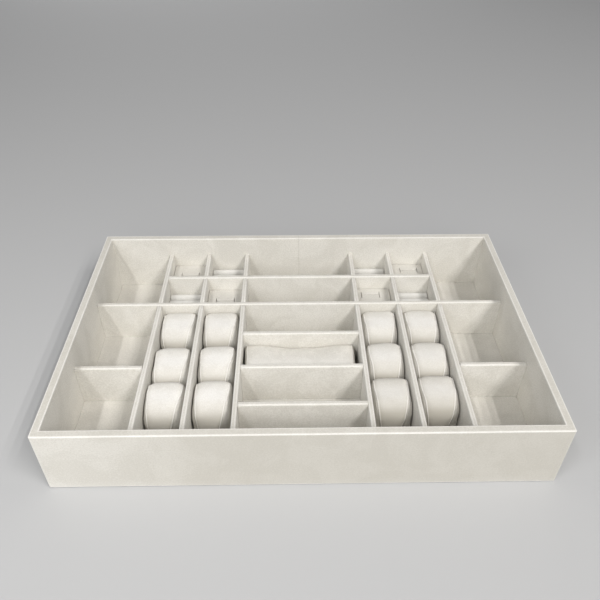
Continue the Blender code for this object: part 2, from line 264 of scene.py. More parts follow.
# what a user would change in each cloth
clothLook = {
    "wallSuede": {
        "base": (0.675, 0.655, 0.600), "brushed": (0.800, 0.782, 0.732), "wornAndLitColour": (0.92, 0.91, 0.88),
        "patchScale": 17.0, "patchAmount": 0.85, "grainScale": 520.0, "grainAmount": 3.0,
        "wearAndHighlight": 0.36, "roughness": 0.93, "sheen": 0.20, "bump": 0.00028},
    "dividerSuede": {
        "base": (0.680, 0.660, 0.605), "brushed": (0.805, 0.787, 0.737), "wornAndLitColour": (0.92, 0.91, 0.88),
        "patchScale": 22.0, "patchAmount": 0.85, "grainScale": 540.0, "grainAmount": 3.0,
        "wearAndHighlight": 0.36, "roughness": 0.93, "sheen": 0.20, "bump": 0.00026},
    "floorSuede": {
        "base": (0.615, 0.596, 0.548), "brushed": (0.725, 0.706, 0.658), "wornAndLitColour": (0.82, 0.80, 0.77),
        "patchScale": 20.0, "patchAmount": 0.8, "grainScale": 520.0, "grainAmount": 2.6,
        "wearAndHighlight": 0.0, "roughness": 0.95, "sheen": 0.12, "bump": 0.00028},
    "pillowVelvet": {
        "base": (0.750, 0.730, 0.685), "brushed": (0.860, 0.845, 0.805), "wornAndLitColour": (0.96, 0.95, 0.93),
        "patchScale": 42.0, "patchAmount": 0.75, "grainScale": 640.0, "grainAmount": 3.0,
        "wearAndHighlight": 0.9, "roughness": 0.90, "sheen": 0.20, "bump": 0.00022},
    "longPillowVelvet": {
        "base": (0.640, 0.620, 0.570), "brushed": (0.770, 0.750, 0.700), "wornAndLitColour": (0.90, 0.89, 0.86),
        "patchScale": 34.0, "patchAmount": 0.85, "grainScale": 640.0, "grainAmount": 2.6,
        "wearAndHighlight": 0.8, "roughness": 0.90, "sheen": 0.20, "bump": 0.00022},
    "ringVelvet": {
        "base": (0.59, 0.58, 0.548), "brushed": (0.68, 0.672, 0.643), "wornAndLitColour": (0.86, 0.85, 0.83),
        "patchScale": 48.0, "patchAmount": 0.8, "grainScale": 640.0, "grainAmount": 1.8,
        "wearAndHighlight": 0.8, "roughness": 0.88, "sheen": 0.20, "bump": 0.00018},
    "slotSuede": {
        "base": (0.610, 0.592, 0.545), "brushed": (0.715, 0.697, 0.650), "wornAndLitColour": (0.85, 0.83, 0.80),
        "patchScale": 40.0, "patchAmount": 0.8, "grainScale": 560.0, "grainAmount": 2.4,
        "wearAndHighlight": 0.5, "roughness": 0.93, "sheen": 0.18, "bump": 0.00024},
    "backingSheet": {
        "base": (0.58, 0.565, 0.525), "brushed": (0.65, 0.635, 0.595), "wornAndLitColour": (0.75, 0.73, 0.69),
        "patchScale": 12.0, "patchAmount": 0.5, "grainScale": 700.0, "grainAmount": 1.0,
        "wearAndHighlight": 0.0, "roughness": 0.85, "sheen": 0.10, "bump": 0.00012},
}
# what all the cloths share; painted shade takes the cloth's base colour times this tint
clothShine = {
    "paintedShadeTint": (0.62, 0.605, 0.565), "bumpStrength": 0.6, "sheenRoughness": 0.45, "specular": 0.25,
}


def makeCloth(name):
    look = clothLook[name]
    cloth = bpy.data.materials.new(name)
    cloth.use_nodes = True
    tree = cloth.node_tree
    shader = tree.nodes["Principled BSDF"]
    nap = addNode(tree, "ShaderNodeGroup", node_tree=napGroup)
    nap.inputs["Base"].default_value = (*look["base"], 1)
    nap.inputs["Brushed"].default_value = (*look["brushed"], 1)
    nap.inputs["Patch Scale"].default_value = look["patchScale"]
    nap.inputs["Patch Amount"].default_value = look["patchAmount"]
    nap.inputs["Grain Scale"].default_value = look["grainScale"]
    nap.inputs["Grain Amount"].default_value = look["grainAmount"]
    nap.inputs["Roughness"].default_value = look["roughness"]
    wornAndLitColour = addNode(tree, "ShaderNodeGroup", {"Color": nap.outputs["Color"]}, node_tree=paintedLightGroup)
    wornAndLitColour.inputs["Worn And Lit"].default_value = (*look["wornAndLitColour"], 1)
    paintedShade = [c * tint for c, tint in zip(look["base"], clothShine["paintedShadeTint"])]
    wornAndLitColour.inputs["Painted Shade"].default_value = (*paintedShade, 1)
    wornAndLitColour.inputs["Amount"].default_value = look["wearAndHighlight"]
    bump = addNode(tree, "ShaderNodeBump", {"Height": nap.outputs["Height"]})
    bump.inputs["Strength"].default_value = clothShine["bumpStrength"]
    bump.inputs["Distance"].default_value = look["bump"]
    tree.links.new(wornAndLitColour.outputs["Color"], shader.inputs["Base Color"])
    tree.links.new(nap.outputs["Roughness"], shader.inputs["Roughness"])
    tree.links.new(bump.outputs["Normal"], shader.inputs["Normal"])
    shader.inputs["Sheen Weight"].default_value = look["sheen"]
    shader.inputs["Sheen Roughness"].default_value = clothShine["sheenRoughness"]
    shader.inputs["Specular IOR Level"].default_value = clothShine["specular"]
    return cloth


# the bare fibreboard inside the covers
boardLook = {"pale": (0.44, 0.33, 0.22), "dark": (0.30, 0.21, 0.13), "chip": 260.0, "bump": 0.0003,
             "roughness": 0.8}


def makeBareBoard():
    board = bpy.data.materials.new("bareBoard")
    board.use_nodes = True
    tree = board.node_tree
    shader = tree.nodes["Principled BSDF"]
    place = addNode(tree, "ShaderNodeTexCoord").outputs["Object"]
    chips = addNode(tree, "ShaderNodeTexNoise", {
        "Vector": place, "Scale": boardLook["chip"], "Detail": 5.0, "Roughness": 0.7}).outputs["Fac"]
    colour = mixColour(tree, chips, (*boardLook["dark"], 1), (*boardLook["pale"], 1))
    bump = addNode(tree, "ShaderNodeBump", {"Height": chips, "Distance": boardLook["bump"], "Strength": 0.4})
    tree.links.new(colour, shader.inputs["Base Color"])
    tree.links.new(bump.outputs["Normal"], shader.inputs["Normal"])
    shader.inputs["Roughness"].default_value = boardLook["roughness"]
    return board


# the pale floor that the tray stands on
floorLook = {"colour": (0.50, 0.505, 0.51), "roughness": 0.85, "half": 6.0}


def makeStage():
    surface = bpy.data.materials.new("paleFloor")
    surface.use_nodes = True
    shader = surface.node_tree.nodes["Principled BSDF"]
    shader.inputs["Base Color"].default_value = (*floorLook["colour"], 1)
    shader.inputs["Roughness"].default_value = floorLook["roughness"]
    half = floorLook["half"]
    mesh = bpy.data.meshes.new("paleFloor")
    corners = [(-half, -half, 0), (half, -half, 0), (half, half, 0), (-half, half, 0)]
    mesh.from_pydata(corners, [], [(0, 1, 2, 3)])
    mesh.materials.append(surface)
    ground = bpy.data.objects.new("paleFloor", mesh)
    scene.collection.objects.link(ground)


cloths = {name: makeCloth(name) for name in clothLook}
bareBoard = makeBareBoard()
print("materials made")


# the finished mesh: smooth, with sharp edges kept, and one cloth on it
def finishPiece(name, bm, material, sharpAngle):
    bmesh.ops.recalc_face_normals(bm, faces=bm.faces)
    mesh = bpy.data.meshes.new(name)
    bm.to_mesh(mesh)
    bm.free()
    mesh.shade_smooth()
    mesh.set_sharp_from_angle(angle=math.radians(sharpAngle))
    mesh.materials.append(material)
    piece = bpy.data.objects.new(name, mesh)
    scene.collection.objects.link(piece)
    return piece


def markLayer(bm, name):
    layer = bm.verts.layers.float.get(name)
    return layer or bm.verts.layers.float.new(name)


def smoothStep(low, high, value):
    # 0 below low, 1 above high, and an even turn between them
    share = max(0.0, min(1.0, (value - low) / (high - low)))
    return share * share * (3 - 2 * share)


def ripple(point, spacing, seed):
    # a gentle unevenness between about -1 and 1
    return noise.noise(Vector(point) / spacing + Vector((seed, 0.37 * seed, 0.0)))


def skinRings(bm, rings, capped=True):
    # quads between neighbouring rings, and a flat cap at each end
    for ring, following in zip(rings, rings[1:]):
        for i in range(len(ring)):
            j = (i + 1) % len(ring)
            bm.faces.new((ring[i], ring[j], following[j], following[i]))
    if capped:
        bm.faces.new(rings[0])
        bm.faces.new(rings[-1])


# covered walls: a rounded section swept along each side, mitred so that the covers meet
wallLook = {
    "cornerRound": 0.0016, "rimRound": 0.0010, "footRound": 0.0009, "band": 0.0012, "topBand": 0.0011,
    "station": 0.012, "row": 0.012, "rows": 6, "nearEnd": (0.0012, 0.0024, 0.004), "calmEnd": 0.02,
    "wave": 0.00016, "waveLength": 0.07, "seamWidth": 0.0005, "seamDepth": 0.0004, "seamPaintedShade": 0.8,
    "footWearAndHighlight": 0.7, "innerWearAndHighlight": 0.85, "topPaintedShade": 0.32,
    "outsidePaintedShade": 0.50, "outsideLeast": 0.35, "outsideFade": (-0.29, -0.06), "sharpAngle": 40.0,
}
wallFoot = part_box("front_wall")[0].z
# each side's length, and the place of a point s along it and t in from its outer face
wallSides = {
    "front_wall": {"run": trayWidth, "place": lambda s, t: (s, -trayDepth / 2 + t)},
    "right_wall": {"run": trayDepth, "place": lambda s, t: (trayWidth / 2 - t, s)},
    "back_wall": {"run": trayWidth, "place": lambda s, t: (-s, trayDepth / 2 - t)},
    "left_wall": {"run": trayDepth, "place": lambda s, t: (-trayWidth / 2 + t, -s)},
}


def wallSection():
    # (depth from the outer face, height, wear and painted highlight) once round the board, from its outer
    # foot
    rim, foot = wallLook["rimRound"], wallLook["footRound"]
    band, topBand, row = wallLook["band"], wallLook["topBand"], wallLook["row"]
    section = []
    for i in range(4):
        angle = math.radians(90 * i / 3)
        section.append((foot - foot * math.sin(angle), wallFoot + foot - foot * math.cos(angle), 1.0))
    heights = [wallFoot + foot + band]
    heights += [row + row * i for i in range(wallLook["rows"])] + [rimHeight - rim - band]
    section += [(0.0, z, wallLook["footWearAndHighlight"] if z == heights[0] else 0.0) for z in heights]
    for i in range(5):
        angle = math.radians(90 * i / 4)
        section.append((rim - rim * math.cos(angle), rimHeight - rim + rim * math.sin(angle), 1.0))
    flat = (rim + topBand, wallThickness / 2, wallThickness - rim - topBand)
    section += [(depth, rimHeight, 0.0) for depth in flat]
    for i in range(5):
        angle = math.radians(90 * i / 4)
        section.append((wallThickness - rim + rim * math.sin(angle),
                        rimHeight - rim + rim * math.cos(angle), wallLook["innerWearAndHighlight"]))
    section += [(wallThickness, z, 0.0) for z in reversed(heights)]
    section.append((wallThickness, wallFoot, 0.0))
    return section


def wallStations(run, seamed):
    # straight stretch, then an eighth of the rounded corner at each end
    corner = wallLook["cornerRound"]
    reach = run / 2 - corner
    count = round(2 * reach / wallLook["station"])
    runs = [-reach + 2 * reach * i / count for i in range(count + 1)]
    for near in wallLook["nearEnd"]:
        runs += [reach - near, near - reach]
    if seamed:
        half = wallLook["seamWidth"] / 2
        runs += [-4 * half, -half, 0.0, half, 4 * half]
        runs = [s for s in runs if abs(s) <= 4 * half or abs(s) > 6 * half]
    turns = [15, 30, 45]
    stations = [(-reach, a) for a in reversed(turns)] + [(s, 0) for s in sorted(set(runs))]
    return stations + [(reach, a) for a in turns]


def wallPoint(station, depth, run):
    # where a station's point lies at this depth: on the mitre line near the corner
    s, turn = station
    corner = wallLook["cornerRound"]
    side = -1 if s < 0 else 1
    limit = run / 2 - depth
    if turn and depth < corner:
        angle = math.radians(turn)
        reach = corner - depth
        return side * (run / 2 - corner + reach * math.sin(angle)), corner - reach * math.cos(angle)
    if turn or abs(s) > limit:
        return side * limit, depth
    return s, depth


def coverWall(node):
    side = wallSides[node]
    run = side["run"]
    seamed = node == "back_wall"
    section = wallSection()
    bm = bmesh.new()
    wearAndHighlightLayer = markLayer(bm, "wearAndHighlight")
    paintedShadeLayer = markLayer(bm, "paintedShadeMask")
    rings = []
    stations = wallStations(run, seamed)
    for station in stations:
        ring = []
        for depth, z, wearAndHighlight in section:
            s, t = wallPoint(station, depth, run)
            nearEnd = min(1.0, (run / 2 - abs(s)) / wallLook["calmEnd"])
            wave = wallLook["wave"] * max(0.0, nearEnd - 0.1)
            x, y = side["place"](s, t)
            lift = wave * ripple((x, y, z), wallLook["waveLength"], 3.0)
            if 0 < depth < wallThickness:
                z += lift
            else:
                t += lift
            seam = 0.0
            if seamed and depth > wallLook["rimRound"] and abs(s) < 1e-6:
                seam = 1.0
                if z > rimHeight - wallLook["rimRound"]:
                    z -= wallLook["seamDepth"]
                if depth > wallThickness - 1e-6:
                    t -= wallLook["seamDepth"]
            x, y = side["place"](s, t)
            vert = bm.verts.new((x, y, z))
            # the rounded corners are lighter too: partly rubbed wear, partly painted highlight
            fromCorner = run / 2 - abs(station[0])
            atCorner = depth < wallLook["band"] and fromCorner < wallLook["cornerRound"] + 0.0002
            vert[wearAndHighlightLayer] = max(wearAndHighlight, 1.0 if atCorner else 0.0)
            # painted shade in the back wall's seam groove
            paintedShadeSum = seam * wallLook["seamPaintedShade"]
            # painted shade over the outer face, lightest at its left end, standing in for light from the left
            if depth < 1e-6 and wallFoot + 0.001 < z < rimHeight - 0.002:
                least = wallLook["outsideLeast"]
                spread = least + (1 - least) * smoothStep(*wallLook["outsideFade"], x)
                paintedShadeSum += wallLook["outsidePaintedShade"] * spread
            # painted shade on the flat top of the rim, between its lighter edges
            elif wearAndHighlight == 0.0 and 0 < depth < wallThickness and z > rimHeight - 0.002:
                paintedShadeSum += wallLook["topPaintedShade"]
            vert[paintedShadeLayer] = paintedShadeSum
            ring.append(vert)
        rings.append(ring)
    skinRings(bm, rings)
    bmesh.ops.remove_doubles(bm, verts=bm.verts, dist=2e-6)
    piece = finishPiece(node + "_cover", bm, cloths["wallSuede"], wallLook["sharpAngle"])
    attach(piece, "tray")
    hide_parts(node)


# dividers and partitions: the cut board with its cover pulled over the rounded top
dividerLook = {
    "station": 0.012, "rows": (0.018, 0.032, 0.046), "edge": 0.0017, "lip": 0.0012,
    "flatHalf": 0.0012, "topLines": (-0.0009, 0.0, 0.0009), "wave": 0.00014, "waveLength": 0.05,
    "calmEnd": 0.01, "frontWearAndHighlight": 0.8, "backWearAndHighlight": 0.25, "topPaintedShade": 0.22, "sharpAngle": 35.0,
}
boardNodes = [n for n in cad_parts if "divider" in n or "partition" in n]


def cutAcross(bm, axis, value):
    # a row of points where a flat plane crosses the mesh
    normal = [0, 0, 0]
    normal[axis] = 1
    place = [0, 0, 0]
    place[axis] = value
    everything = list(bm.verts) + list(bm.edges) + list(bm.faces)
    bmesh.ops.bisect_plane(bm, geom=everything, dist=1e-6, plane_co=place, plane_no=normal)


def coverBoard(node, seed):
    low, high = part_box(node)
    bm = bmesh.new()
    bm.from_mesh(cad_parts[node].data)
    bmesh.ops.remove_doubles(bm, verts=bm.verts, dist=1e-6)
    bmesh.ops.dissolve_limit(bm, angle_limit=math.radians(1.5), verts=bm.verts, edges=bm.edges)
    along = 0 if high.x - low.x > high.y - low.y else 1
    across = 1 - along
    run = high[along] - low[along]
    edge = dividerLook["edge"]
    count = max(2, round(run / dividerLook["station"]))
    for i in range(1, count):
        cutAcross(bm, along, low[along] + run * i / count)
    for z in dividerLook["rows"]:
        cutAcross(bm, 2, z)
    cutAcross(bm, 2, high.z - edge - dividerLook["lip"])
    middle = (low[across] + high[across]) / 2
    for off in dividerLook["topLines"]:
        cutAcross(bm, across, middle + off)
    wearAndHighlightLayer = markLayer(bm, "wearAndHighlight")
    paintedShadeLayer = markLayer(bm, "paintedShadeMask")
    # edges are lighter, partly wear and partly painted highlight that is stronger on edges facing the lamps;
    # flat tops get painted shade
    for vert in bm.verts:
        off = vert.co[across] - middle
        onEdge = vert.co.z > high.z - edge * 0.8 and abs(off) > dividerLook["flatHalf"]
        if onEdge:
            vert[wearAndHighlightLayer] = dividerLook["frontWearAndHighlight"] if off < 0 or along == 1 else dividerLook["backWearAndHighlight"]
        elif vert.co.z > high.z - 0.0002:
            vert[paintedShadeLayer] = dividerLook["topPaintedShade"]
    for vert in bm.verts:
        calm = dividerLook["calmEnd"]
        inside = min(vert.co[along] - low[along], high[along] - vert.co[along], calm) / calm
        lift = dividerLook["wave"] * inside * ripple(vert.co, dividerLook["waveLength"], seed)
        if vert.co.z > high.z - edge / 2:
            vert.co.z += min(lift, 0.0)
        elif vert.co.z > low.z + 0.002:
            vert.co[across] += lift * (1 if vert.co[across] > middle else -1)
    piece = finishPiece(node + "_cover", bm, cloths["dividerSuede"], dividerLook["sharpAngle"])
    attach(piece, "tray")
    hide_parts(node)


# stuffed pillows start from a side view of rounded corners
def arcPoints(centre, radius, start, end, steps):
    # points on an arc between two angles in degrees
    points = []
    for i in range(steps + 1):
        angle = math.radians(start + (end - start) * i / steps)
        points.append((centre[0] + radius * math.cos(angle), centre[1] + radius * math.sin(angle)))
    return points


def evenLoop(points, spacing):
    # the same closed loop with points about one spacing apart
    loop = [Vector(p) for p in points] + [Vector(points[0])]
    lengths = [(q - p).length for p, q in zip(loop, loop[1:])]
    count = round(sum(lengths) / spacing)
    step = sum(lengths) / count
    made, index, left = [], 0, 0.0
    for i in range(count):
        want = i * step
        while left + lengths[index] < want - 1e-9:
            left += lengths[index]
            index += 1
        made.append(loop[index].lerp(loop[index + 1], (want - left) / lengths[index]))
    return made


def pillowLoop(low, high, look):
    # side view of the cover, from the front foot round to the back and over the crest
    front, back = look["frontRound"], look["backRound"]
    foot = look["footRound"]
    loop = arcPoints((low.y + foot, low.z + foot), foot, 180, 270, 4)
    loop += arcPoints((high.y - foot, low.z + foot), foot, 270, 360, 4)
    loop += arcPoints((high.y - back, high.z - back), back, 0, 90, 6)
    loop += arcPoints((low.y + front, high.z - front), front, 90, 180, 10)
    return evenLoop(loop, look["spacing"])


# stuffing pressure inside a sewn cover, solved for all the pillows together; no point moves
# further than the cap
stuffing = {
    "pressure": 4.0, "frames": 20, "cap": 0.0022, "mass": 0.3, "quality": 6,
    "stretch": 15, "shear": 8, "bend": 0.5, "seamHold": 0.85, "holdStiffness": 0.6,
}


def fillWithStuffing(pieces):
    starts = {}
    for piece in pieces:
        starts[piece.name] = [v.co.copy() for v in piece.data.vertices]
        sewn = piece.vertex_groups.new(name="sewn")
        seamLine = piece.data.attributes["seamLine"].data
        for vert, mark in zip(piece.data.vertices, seamLine):
            if mark.value > 0.5:
                sewn.add([vert.index], stuffing["seamHold"], "REPLACE")
        cloth = piece.modifiers.new("stuffing", "CLOTH")
        settings = cloth.settings
        settings.quality = stuffing["quality"]
        settings.mass = stuffing["mass"]
        settings.tension_stiffness = stuffing["stretch"]
        settings.compression_stiffness = stuffing["stretch"]
        settings.shear_stiffness = stuffing["shear"]
        settings.bending_stiffness = stuffing["bend"]
        settings.use_pressure = True
        settings.uniform_pressure_force = stuffing["pressure"]
        settings.effector_weights.gravity = 0
        settings.vertex_group_mass = "sewn"
        settings.pin_stiffness = stuffing["holdStiffness"]
        cloth.collision_settings.use_collision = False
        cloth.point_cache.frame_start = 1
        cloth.point_cache.frame_end = stuffing["frames"]
    for step in range(1, stuffing["frames"] + 1):
        scene.frame_set(step)
    for piece in pieces:
        applyModifiers(piece)
        for vert, start in zip(piece.data.vertices, starts[piece.name]):
            move = vert.co - start
            if move.length > stuffing["cap"]:
                vert.co = start + move.normalized() * stuffing["cap"]
        piece.vertex_groups.clear()
    scene.frame_set(1)


def applyModifiers(piece):
    bpy.context.view_layer.update()
    graph = bpy.context.evaluated_depsgraph_get()
    made = bpy.data.meshes.new_from_object(piece.evaluated_get(graph))
    old = piece.data
    piece.modifiers.clear()
    piece.data = made
    made.name = piece.name
    bpy.data.meshes.remove(old)


def addSubdivision(piece):
    fine = piece.modifiers.new("fine", "SUBSURF")
    fine.levels = 1
    fine.render_levels = 1
    applyModifiers(piece)


# the seam is set in further at the foot than at the crest, so the face narrows downwards
watchPillowLook = {
    "spacing": 0.0038, "start": 0.0007, "frontRound": 0.0265, "backRound": 0.0062, "footRound": 0.006,
    "crestSeam": 0.0018, "leftSeam": 0.0085, "rightSeam": 0.0165, "crestDepth": 0.0040, "frontDepth": 0.0130,
    "crown": 0.0007, "cornerDrop": 0.0042, "cornerSpan": 0.0085, "sideBulge": 0.0008,
    "ridge": 0.00060, "ridgeHalf": 0.0009, "ridgeHighlight": 0.55, "groove": 0.00045,
    "lump": 0.0008, "lumpSize": 0.021, "pucker": 0.0008,
    "crestPaintedShade": 0.50, "crestWay": 0.023, "paintedLight": 0.32, "paintedLightWay": (0.015, 0.026, 0.030, 0.044),
    "frontPaintedShade": 0.42, "frontWay": (0.032, 0.060), "footPaintedShade": 0.45, "footWay": (0.052, 0.074),
    "fill": 0.75,
}
# how much higher each crest stands at its right end than at its left, its arch, and how much painted shade it
# gets, heavier on the right-hand pillows where less light falls
pillowCrests = {
    "outer_left_1": (0.0020, 0.0003, 0.0), "outer_left_2": (0.0024, 0.0008, 0.0),
    "outer_left_3": (-0.0008, 0.0012, 0.0),
    "inner_left_1": (0.0012, 0.0002, 0.0), "inner_left_2": (0.0024, 0.0007, 0.0),
    "inner_left_3": (0.0014, 0.0012, 0.0),
    "inner_right_1": (0.0014, 0.0004, 0.06), "inner_right_2": (0.0004, 0.0010, 0.15),
    "inner_right_3": (0.0004, 0.0002, 0.30),
    "outer_right_1": (0.0000, 0.0003, 0.07), "outer_right_2": (0.0012, 0.0009, 0.17),
    "outer_right_3": (0.0002, 0.0006, 0.28),
}
pillowPrefix = "watch_pillow_"
pillowNodes = sorted(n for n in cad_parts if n.startswith(pillowPrefix))
# one long pillow for bracelets, lower in the middle than at its two ends
longPillowLook = {
    "spacing": 0.0042, "start": 0.0006, "frontRound": 0.0190, "backRound": 0.0062, "footRound": 0.006,
    "crestSeam": 0.0020, "leftSeam": 0.0045, "rightSeam": 0.0055, "crestDepth": 0.0026, "frontDepth": 0.0080,
    "crown": 0.0, "cornerDrop": 0.0010, "cornerSpan": 0.0050, "sideBulge": 0.0010,
    "ridge": 0.00040, "ridgeHalf": 0.0008, "ridgeHighlight": 0.7, "groove": 0.00045,
    "lump": 0.0013, "lumpSize": 0.024, "pucker": 0.0008, "dip": 0.0040, "dipFlat": 0.018, "dipHalf": 0.052,
    "crestPaintedShade": 0.30, "crestWay": 0.022, "paintedLight": 0.40, "paintedLightWay": (0.018, 0.040, 0.080, 0.100),
    "frontPaintedShade": 0.0, "frontWay": (0.050, 0.080), "footPaintedShade": 0.0, "footWay": (0.052, 0.074),
    "fill": 0.6,
}


def longPillowDip(x):
    # 1 over the low middle, 0 over the two fuller ends
    return 1 - smoothStep(longPillowLook["dipFlat"], longPillowLook["dipHalf"], abs(x))


# where the columns of points stand on a side, from its seam out, and on the flat end
sideShares = (0.22, 0.5, 0.78, 1.0)
endShares = (0.72, 0.42, 0.16)


def pillowColumns(faceShares):
    # columns of points from left to right: (kind, share), where the kind is the face between
    # the seams, a side that falls back from a seam, or a flat end
    columns = [("face", 0.0)]
    for x in (-1, 1):
        columns += [("face", x * share) for share in faceShares if share > 0]
        columns += [("side", x * share) for share in sideShares]
        columns += [("end", x * share) for share in endShares]
    reach = {"face": 0.0, "side": 1.0, "end": 2.0}

    def reached(column):
        kind, share = column
        along = 1 - abs(share) if kind == "end" else abs(share)
        return math.copysign(reach[kind] + along, share) if share else 0.0

    return sorted(columns, key=reached)


# how the cover falls away from the crest towards the front and the foot
coverMake = {"axisDrop": 0.002, "longInset": 0.012, "shortInset": 0.002, "crestShare": 0.45,
             "sideRound": 0.28, "crownCurve": 2.6}


def startPillow(node, look, faceShares):
    # a closed cover: one ring of points for each column, and a fan of faces at each end
    low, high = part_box(node)
    inset = Vector((look["start"],) * 3)
    low, high = low + inset, high - inset
    low.z -= inset.z * 0.6
    middle, half = (low.x + high.x) / 2, (high.x - low.x) / 2
    loop = pillowLoop(low, high, look)
    centre = Vector(((low.y + high.y) / 2, (low.z + high.z) / 2 - coverMake["axisDrop"]))
    longInset, shortInset = coverMake["longInset"], coverMake["shortInset"]
    crestShare, sideRound = coverMake["crestShare"], coverMake["sideRound"]
    dip = look.get("dip", 0.0)
    bm = bmesh.new()
    seamLine = bm.verts.layers.float.new("seamLine")
    gusset = bm.verts.layers.float.new("gusset")
    rings = []
    for kind, share in pillowColumns(faceShares):
        side = math.copysign(1.0, share) if share else 0.0
        ring = []
        for point in loop:
            y, z = point
            frontward = smoothStep(high.y - longInset, low.y + shortInset, y)
            downward = smoothStep(high.z - shortInset, low.z + longInset, z)
            openness = frontward * (crestShare + (1 - crestShare) * downward)
            taper = look["leftSeam"] + (look["rightSeam"] - look["leftSeam"]) * (side + 1) / 2
            seamIn = look["crestSeam"] + (taper - look["crestSeam"]) * openness
            depth = look["crestDepth"] + (look["frontDepth"] - look["crestDepth"]) * openness
            face = half - seamIn
            if kind == "face":
                x = share * face
                sink = look["crown"] * abs(share) ** coverMake["crownCurve"]
            elif kind == "side":
                out = abs(share)
                x = side * (face + seamIn * math.sin(out * math.pi / 2))
                rounded = 1 - math.cos(out * math.pi / 2)
                sink = look["crown"] + depth * ((1 - sideRound) * out + sideRound * rounded)
            else:
                x = side * (half + look["sideBulge"] * (1 - abs(share)))
            toCentre = centre - point
            distance = toCentre.length
            if kind == "end":
                rim = 1 - (look["crown"] + depth) / distance
                moved = centre - toCentre * rim * abs(share)
            else:
                moved = point + toCentre * min(sink / distance, 0.9)
            fromEdge = half - abs(x)
            corner = max(0.0, 1 - fromEdge / look["cornerSpan"]) ** 2
            moved += (centre - moved).normalized() * look["cornerDrop"] * corner * (1 - openness)
            lift = (moved.y - low.z) / (high.z - low.z)
            moved.y -= dip * longPillowDip(x) * smoothStep(0.25, 1.0, lift)
            vert = bm.verts.new((middle + x, moved.x, moved.y))
            if kind == "face" and abs(share) == 1:
                vert[seamLine] = 1.0
            vert[gusset] = 0.0 if kind == "face" else 1.0
            ring.append(vert)
        rings.append(ring)
    skinRings(bm, rings, capped=False)
    for ring, place in ((rings[0], -1), (rings[-1], 1)):
        core = sum((v.co for v in ring), Vector()) / len(ring)
        hub = bm.verts.new(core + Vector((place * 0.0001, 0, 0)))
        for i in range(len(ring)):
            bm.faces.new((ring[i], ring[(i + 1) % len(ring)], hub))
    bmesh.ops.recalc_face_normals(bm, faces=bm.faces)
    for edge in bm.edges:
        edge.seam = all(v[seamLine] > 0.5 for v in edge.verts)
    mesh = bpy.data.meshes.new(node + "_cover")
    bm.to_mesh(mesh)
    bm.free()
    piece = bpy.data.objects.new(node + "_cover", mesh)
    scene.collection.objects.link(piece)
    return piece


# the sewn edge, and the short folds that run in from a pillow's two back corners
seamMake = {"offset": 0.0016, "segments": 6, "grooveAt": 0.0014, "grooveHalf": 0.0007,
            "stitch": 0.008, "gather": 0.0085, "gatherReach": 0.007, "paintedShade": 0.22}
foldMake = {"from": (0.0030, 0.0060), "toward": (0.75, -0.66), "length": 0.013, "half": 0.0022,
            "height": 0.0006, "lowest": 0.03}


def cornerFolds(place, low, high, seed):
    # how far the cover stands out at this place
    middle, half = (low.x + high.x) / 2, (high.x - low.x) / 2
    inX, inY = foldMake["from"]
    height = 0.0
    for side in (-1, 1):
        corner = Vector((middle + side * (half - inX), high.y - inY))
        inward = Vector((-side * foldMake["toward"][0], foldMake["toward"][1])).normalized()
        away = Vector(place.xy) - corner
        along = away.dot(inward)
        if 0 < along < foldMake["length"] and place.z > low.z + foldMake["lowest"]:
            across = abs(away.x * inward.y - away.y * inward.x)
            fold = max(0.0, 1 - across / foldMake["half"]) * math.sin(math.pi * along / foldMake["length"])
            height += foldMake["height"] * fold * (0.7 + 0.3 * math.sin(seed * 2.3 + side))
    return height


